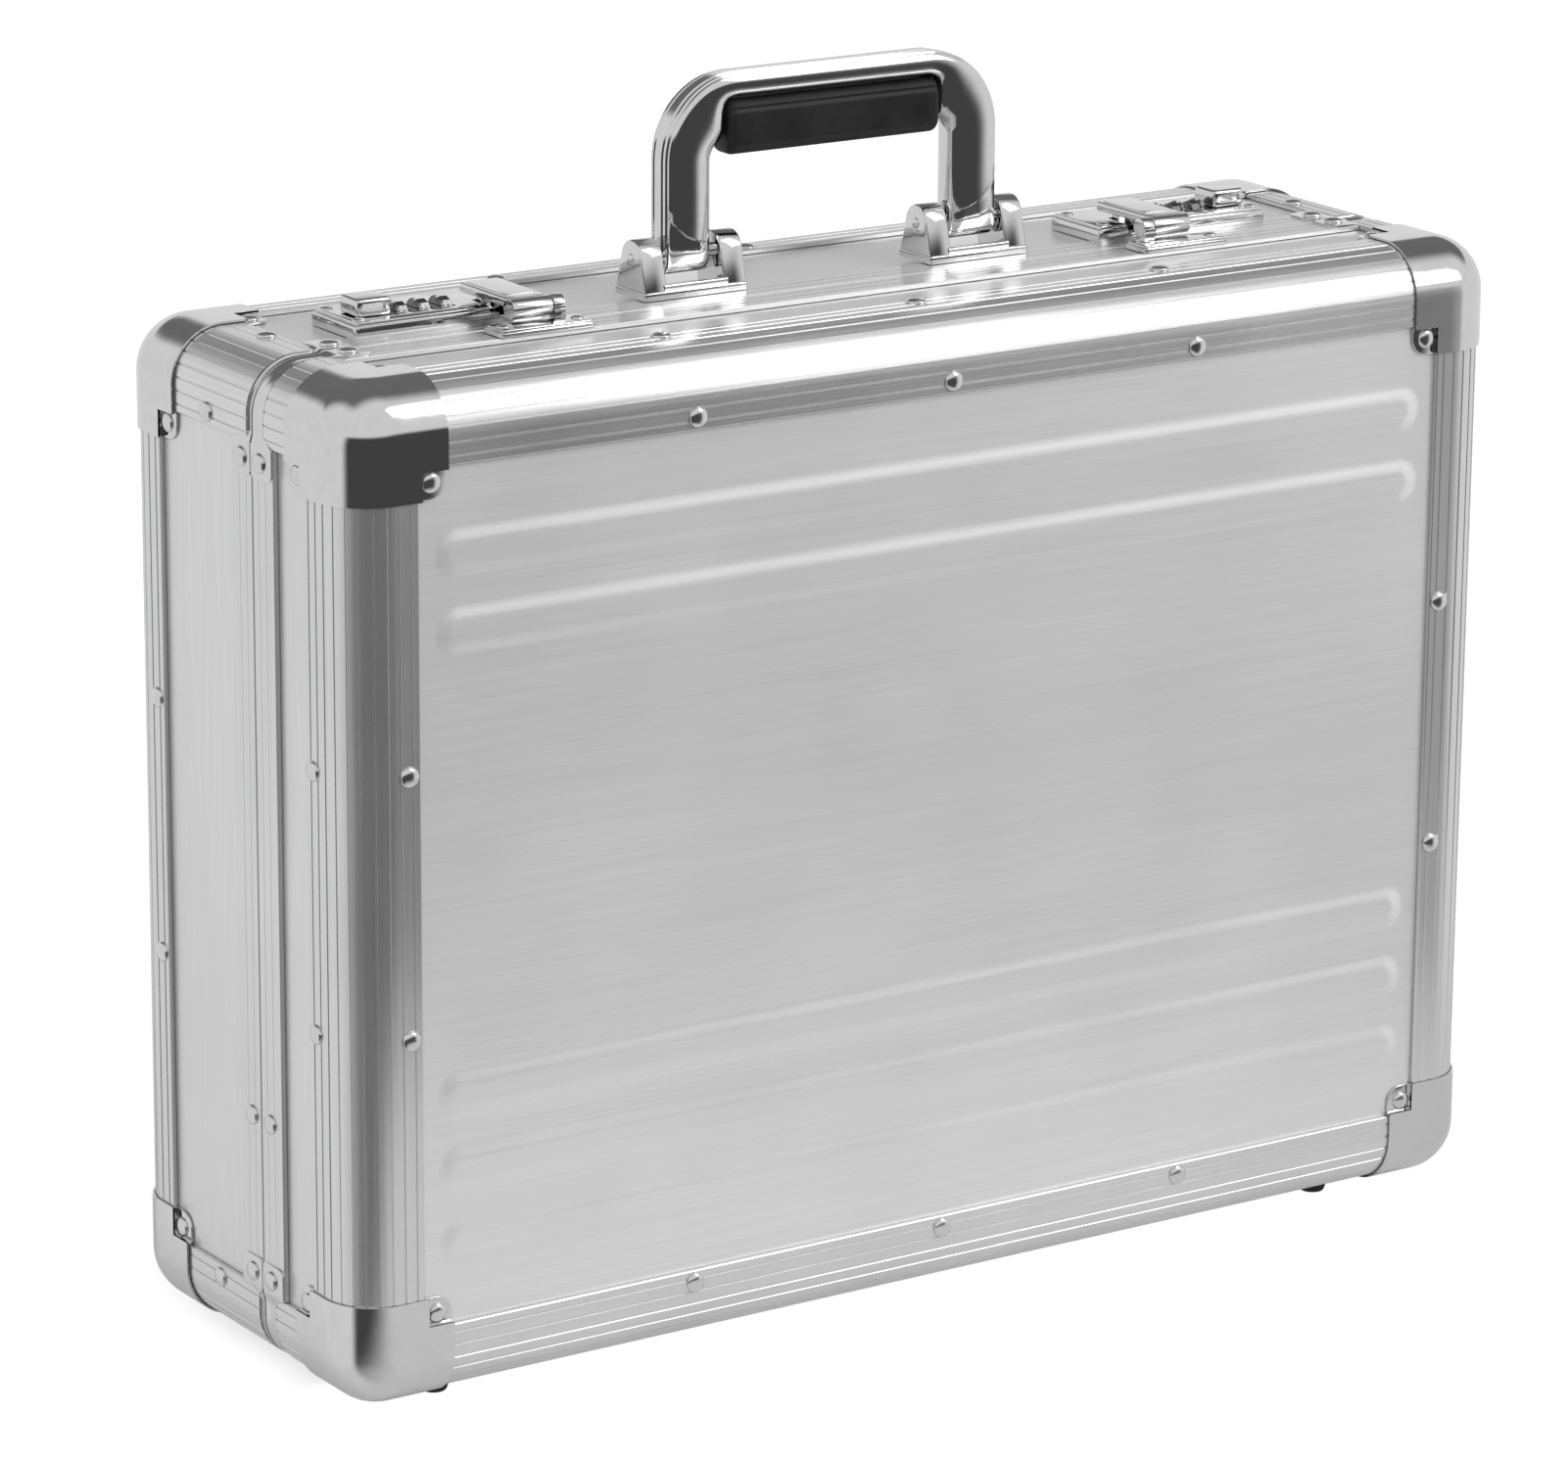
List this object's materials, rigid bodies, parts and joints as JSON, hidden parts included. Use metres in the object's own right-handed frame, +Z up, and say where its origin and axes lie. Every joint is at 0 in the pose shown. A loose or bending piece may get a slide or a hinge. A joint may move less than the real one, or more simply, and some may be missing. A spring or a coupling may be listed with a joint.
{
  "type": "attache case",
  "caption": "Hard aluminium-framed attaché case on rubber feet: lid hinged along the bottom, swing handle, combination hasp locks, chrome corner caps and folding inner stays.",
  "frame": {"origin": "on the floor, under the middle of the closed case", "axes": "+X along the width, -Y out of the lid's front, +Z up through the handle"},
  "size_m": [0.462, 0.15, 0.4205],
  "materials": {
    "panel_aluminium": "fine horizontal brushed grain",
    "extrusion_aluminium": "satin, fine lengthwise grooves",
    "chrome": "bright polished",
    "dial_metal": "bright nickel plating, dark digits",
    "grip_leather": "fine grained black",
    "foot_rubber": "matte black",
    "lining_fabric": "matte black short nap"
  },
  "bodies": {
    "base": {"base_panel": "panel_aluminium", "base_top_wall": "panel_aluminium", "base_bottom_wall": "panel_aluminium", "base_left_wall": "panel_aluminium", "base_right_wall": "panel_aluminium", "base_edge_frame": "extrusion_aluminium", "base_corner_bar_top_left": "extrusion_aluminium", "base_corner_bar_top_right": "extrusion_aluminium", "base_corner_bar_bottom_left": "extrusion_aluminium", "base_corner_bar_bottom_right": "extrusion_aluminium", "base_corner_cap_top_left": "chrome", "base_corner_cap_top_right": "chrome", "base_corner_cap_bottom_left": "chrome", "base_corner_cap_bottom_right": "chrome", "base_rim": "extrusion_aluminium", "base_lining": "lining_fabric", "base_hinge_leaf": "extrusion_aluminium", "base_foot_left": "foot_rubber", "base_foot_right": "foot_rubber", "left_handle_bracket": "chrome", "left_lock_plate": "chrome", "right_handle_bracket": "chrome", "right_lock_plate": "chrome"},
    "lid": {"lid_panel": "panel_aluminium", "lid_top_wall": "panel_aluminium", "lid_bottom_wall": "panel_aluminium", "lid_left_wall": "panel_aluminium", "lid_right_wall": "panel_aluminium", "lid_edge_frame": "extrusion_aluminium", "lid_corner_bar_top_left": "extrusion_aluminium", "lid_corner_bar_top_right": "extrusion_aluminium", "lid_corner_bar_bottom_left": "extrusion_aluminium", "lid_corner_bar_bottom_right": "extrusion_aluminium", "lid_corner_cap_top_left": "chrome", "lid_corner_cap_top_right": "chrome", "lid_corner_cap_bottom_left": "chrome", "lid_corner_cap_bottom_right": "chrome", "lid_rim": "extrusion_aluminium", "lid_lining": "lining_fabric", "lid_hinge_leaf": "extrusion_aluminium", "lid_foot_left": "foot_rubber", "lid_foot_right": "foot_rubber", "left_hasp_plate": "chrome", "right_hasp_plate": "chrome"},
    "handle": {"handle_frame": "chrome", "handle_grip": "grip_leather"},
    "left_hasp": {"left_hasp": "chrome"},
    "left_slider": {"left_lock_slider": "chrome"},
    "left_dial_1": {"left_lock_dial_1": "dial_metal"},
    "left_dial_2": {"left_lock_dial_2": "dial_metal"},
    "left_dial_3": {"left_lock_dial_3": "dial_metal"},
    "left_stay_base_arm": {"left_stay_base_arm": "chrome"},
    "left_stay_lid_arm": {"left_stay_lid_arm": "chrome"},
    "right_hasp": {"right_hasp": "chrome"},
    "right_slider": {"right_lock_slider": "chrome"},
    "right_dial_1": {"right_lock_dial_1": "dial_metal"},
    "right_dial_2": {"right_lock_dial_2": "dial_metal"},
    "right_dial_3": {"right_lock_dial_3": "dial_metal"},
    "right_stay_base_arm": {"right_stay_base_arm": "chrome"},
    "right_stay_lid_arm": {"right_stay_lid_arm": "chrome"}
  },
  "joints": [
    {"name": "lid_hinge", "type": "hinge", "parent": "base", "child": "lid", "pos_m": [0, -0.0145, 0.0055], "axis": [1, 0, 0], "range_deg": [0, 90]},
    {"name": "handle_swing", "type": "hinge", "parent": "base", "child": "handle", "pos_m": [0, 0.003, 0.361], "axis": [1, 0, 0], "range_deg": [-90, 90]},
    {"name": "left_hasp_hinge", "type": "hinge", "parent": "lid", "child": "left_hasp", "pos_m": [-0.1285, -0.017, 0.3544], "axis": [1, 0, 0], "range_deg": [0, 115]},
    {"name": "left_release_slide", "type": "slide", "parent": "base", "child": "left_slider", "axis": [-1, 0, 0], "range_m": [0, 0.004], "stiffness_N_per_m": 400},
    {"name": "left_dial_1_spin", "type": "hinge", "parent": "base", "child": "left_dial_1", "pos_m": [-0.1609, 0.0123, 0.35], "axis": [1, 0, 0], "continuous": true},
    {"name": "left_dial_2_spin", "type": "hinge", "parent": "base", "child": "left_dial_2", "pos_m": [-0.1526, 0.0123, 0.35], "axis": [1, 0, 0], "continuous": true},
    {"name": "left_dial_3_spin", "type": "hinge", "parent": "base", "child": "left_dial_3", "pos_m": [-0.1443, 0.0123, 0.35], "axis": [1, 0, 0], "continuous": true},
    {"name": "left_stay_base_pivot", "type": "hinge", "parent": "base", "child": "left_stay_base_arm", "pos_m": [-0.219, -0.00845, 0.0943], "axis": [1, 0, 0], "range_deg": [0, 90]},
    {"name": "left_stay_lid_pivot", "type": "hinge", "parent": "lid", "child": "left_stay_lid_arm", "pos_m": [-0.2175, -0.02055, 0.0943], "axis": [1, 0, 0], "range_deg": [-90, 0]},
    {"name": "right_hasp_hinge", "type": "hinge", "parent": "lid", "child": "right_hasp", "pos_m": [0.1285, -0.017, 0.3544], "axis": [1, 0, 0], "range_deg": [0, 115]},
    {"name": "right_release_slide", "type": "slide", "parent": "base", "child": "right_slider", "axis": [1, 0, 0], "range_m": [0, 0.004], "stiffness_N_per_m": 400},
    {"name": "right_dial_1_spin", "type": "hinge", "parent": "base", "child": "right_dial_1", "pos_m": [0.1609, 0.0123, 0.35], "axis": [1, 0, 0], "continuous": true},
    {"name": "right_dial_2_spin", "type": "hinge", "parent": "base", "child": "right_dial_2", "pos_m": [0.1526, 0.0123, 0.35], "axis": [1, 0, 0], "continuous": true},
    {"name": "right_dial_3_spin", "type": "hinge", "parent": "base", "child": "right_dial_3", "pos_m": [0.1443, 0.0123, 0.35], "axis": [1, 0, 0], "continuous": true},
    {"name": "right_stay_base_pivot", "type": "hinge", "parent": "base", "child": "right_stay_base_arm", "pos_m": [0.219, -0.00845, 0.0943], "axis": [1, 0, 0], "range_deg": [0, 90]},
    {"name": "right_stay_lid_pivot", "type": "hinge", "parent": "lid", "child": "right_stay_lid_arm", "pos_m": [0.2175, -0.02055, 0.0943], "axis": [1, 0, 0], "range_deg": [-90, 0]}
  ],
  "couplings": [
    {"joint": "left_stay_base_pivot", "follows": "lid_hinge", "ratio": 1},
    {"joint": "left_stay_lid_pivot", "follows": "lid_hinge", "ratio": -1},
    {"joint": "right_stay_base_pivot", "follows": "lid_hinge", "ratio": 1},
    {"joint": "right_stay_lid_pivot", "follows": "lid_hinge", "ratio": -1}
  ]
}
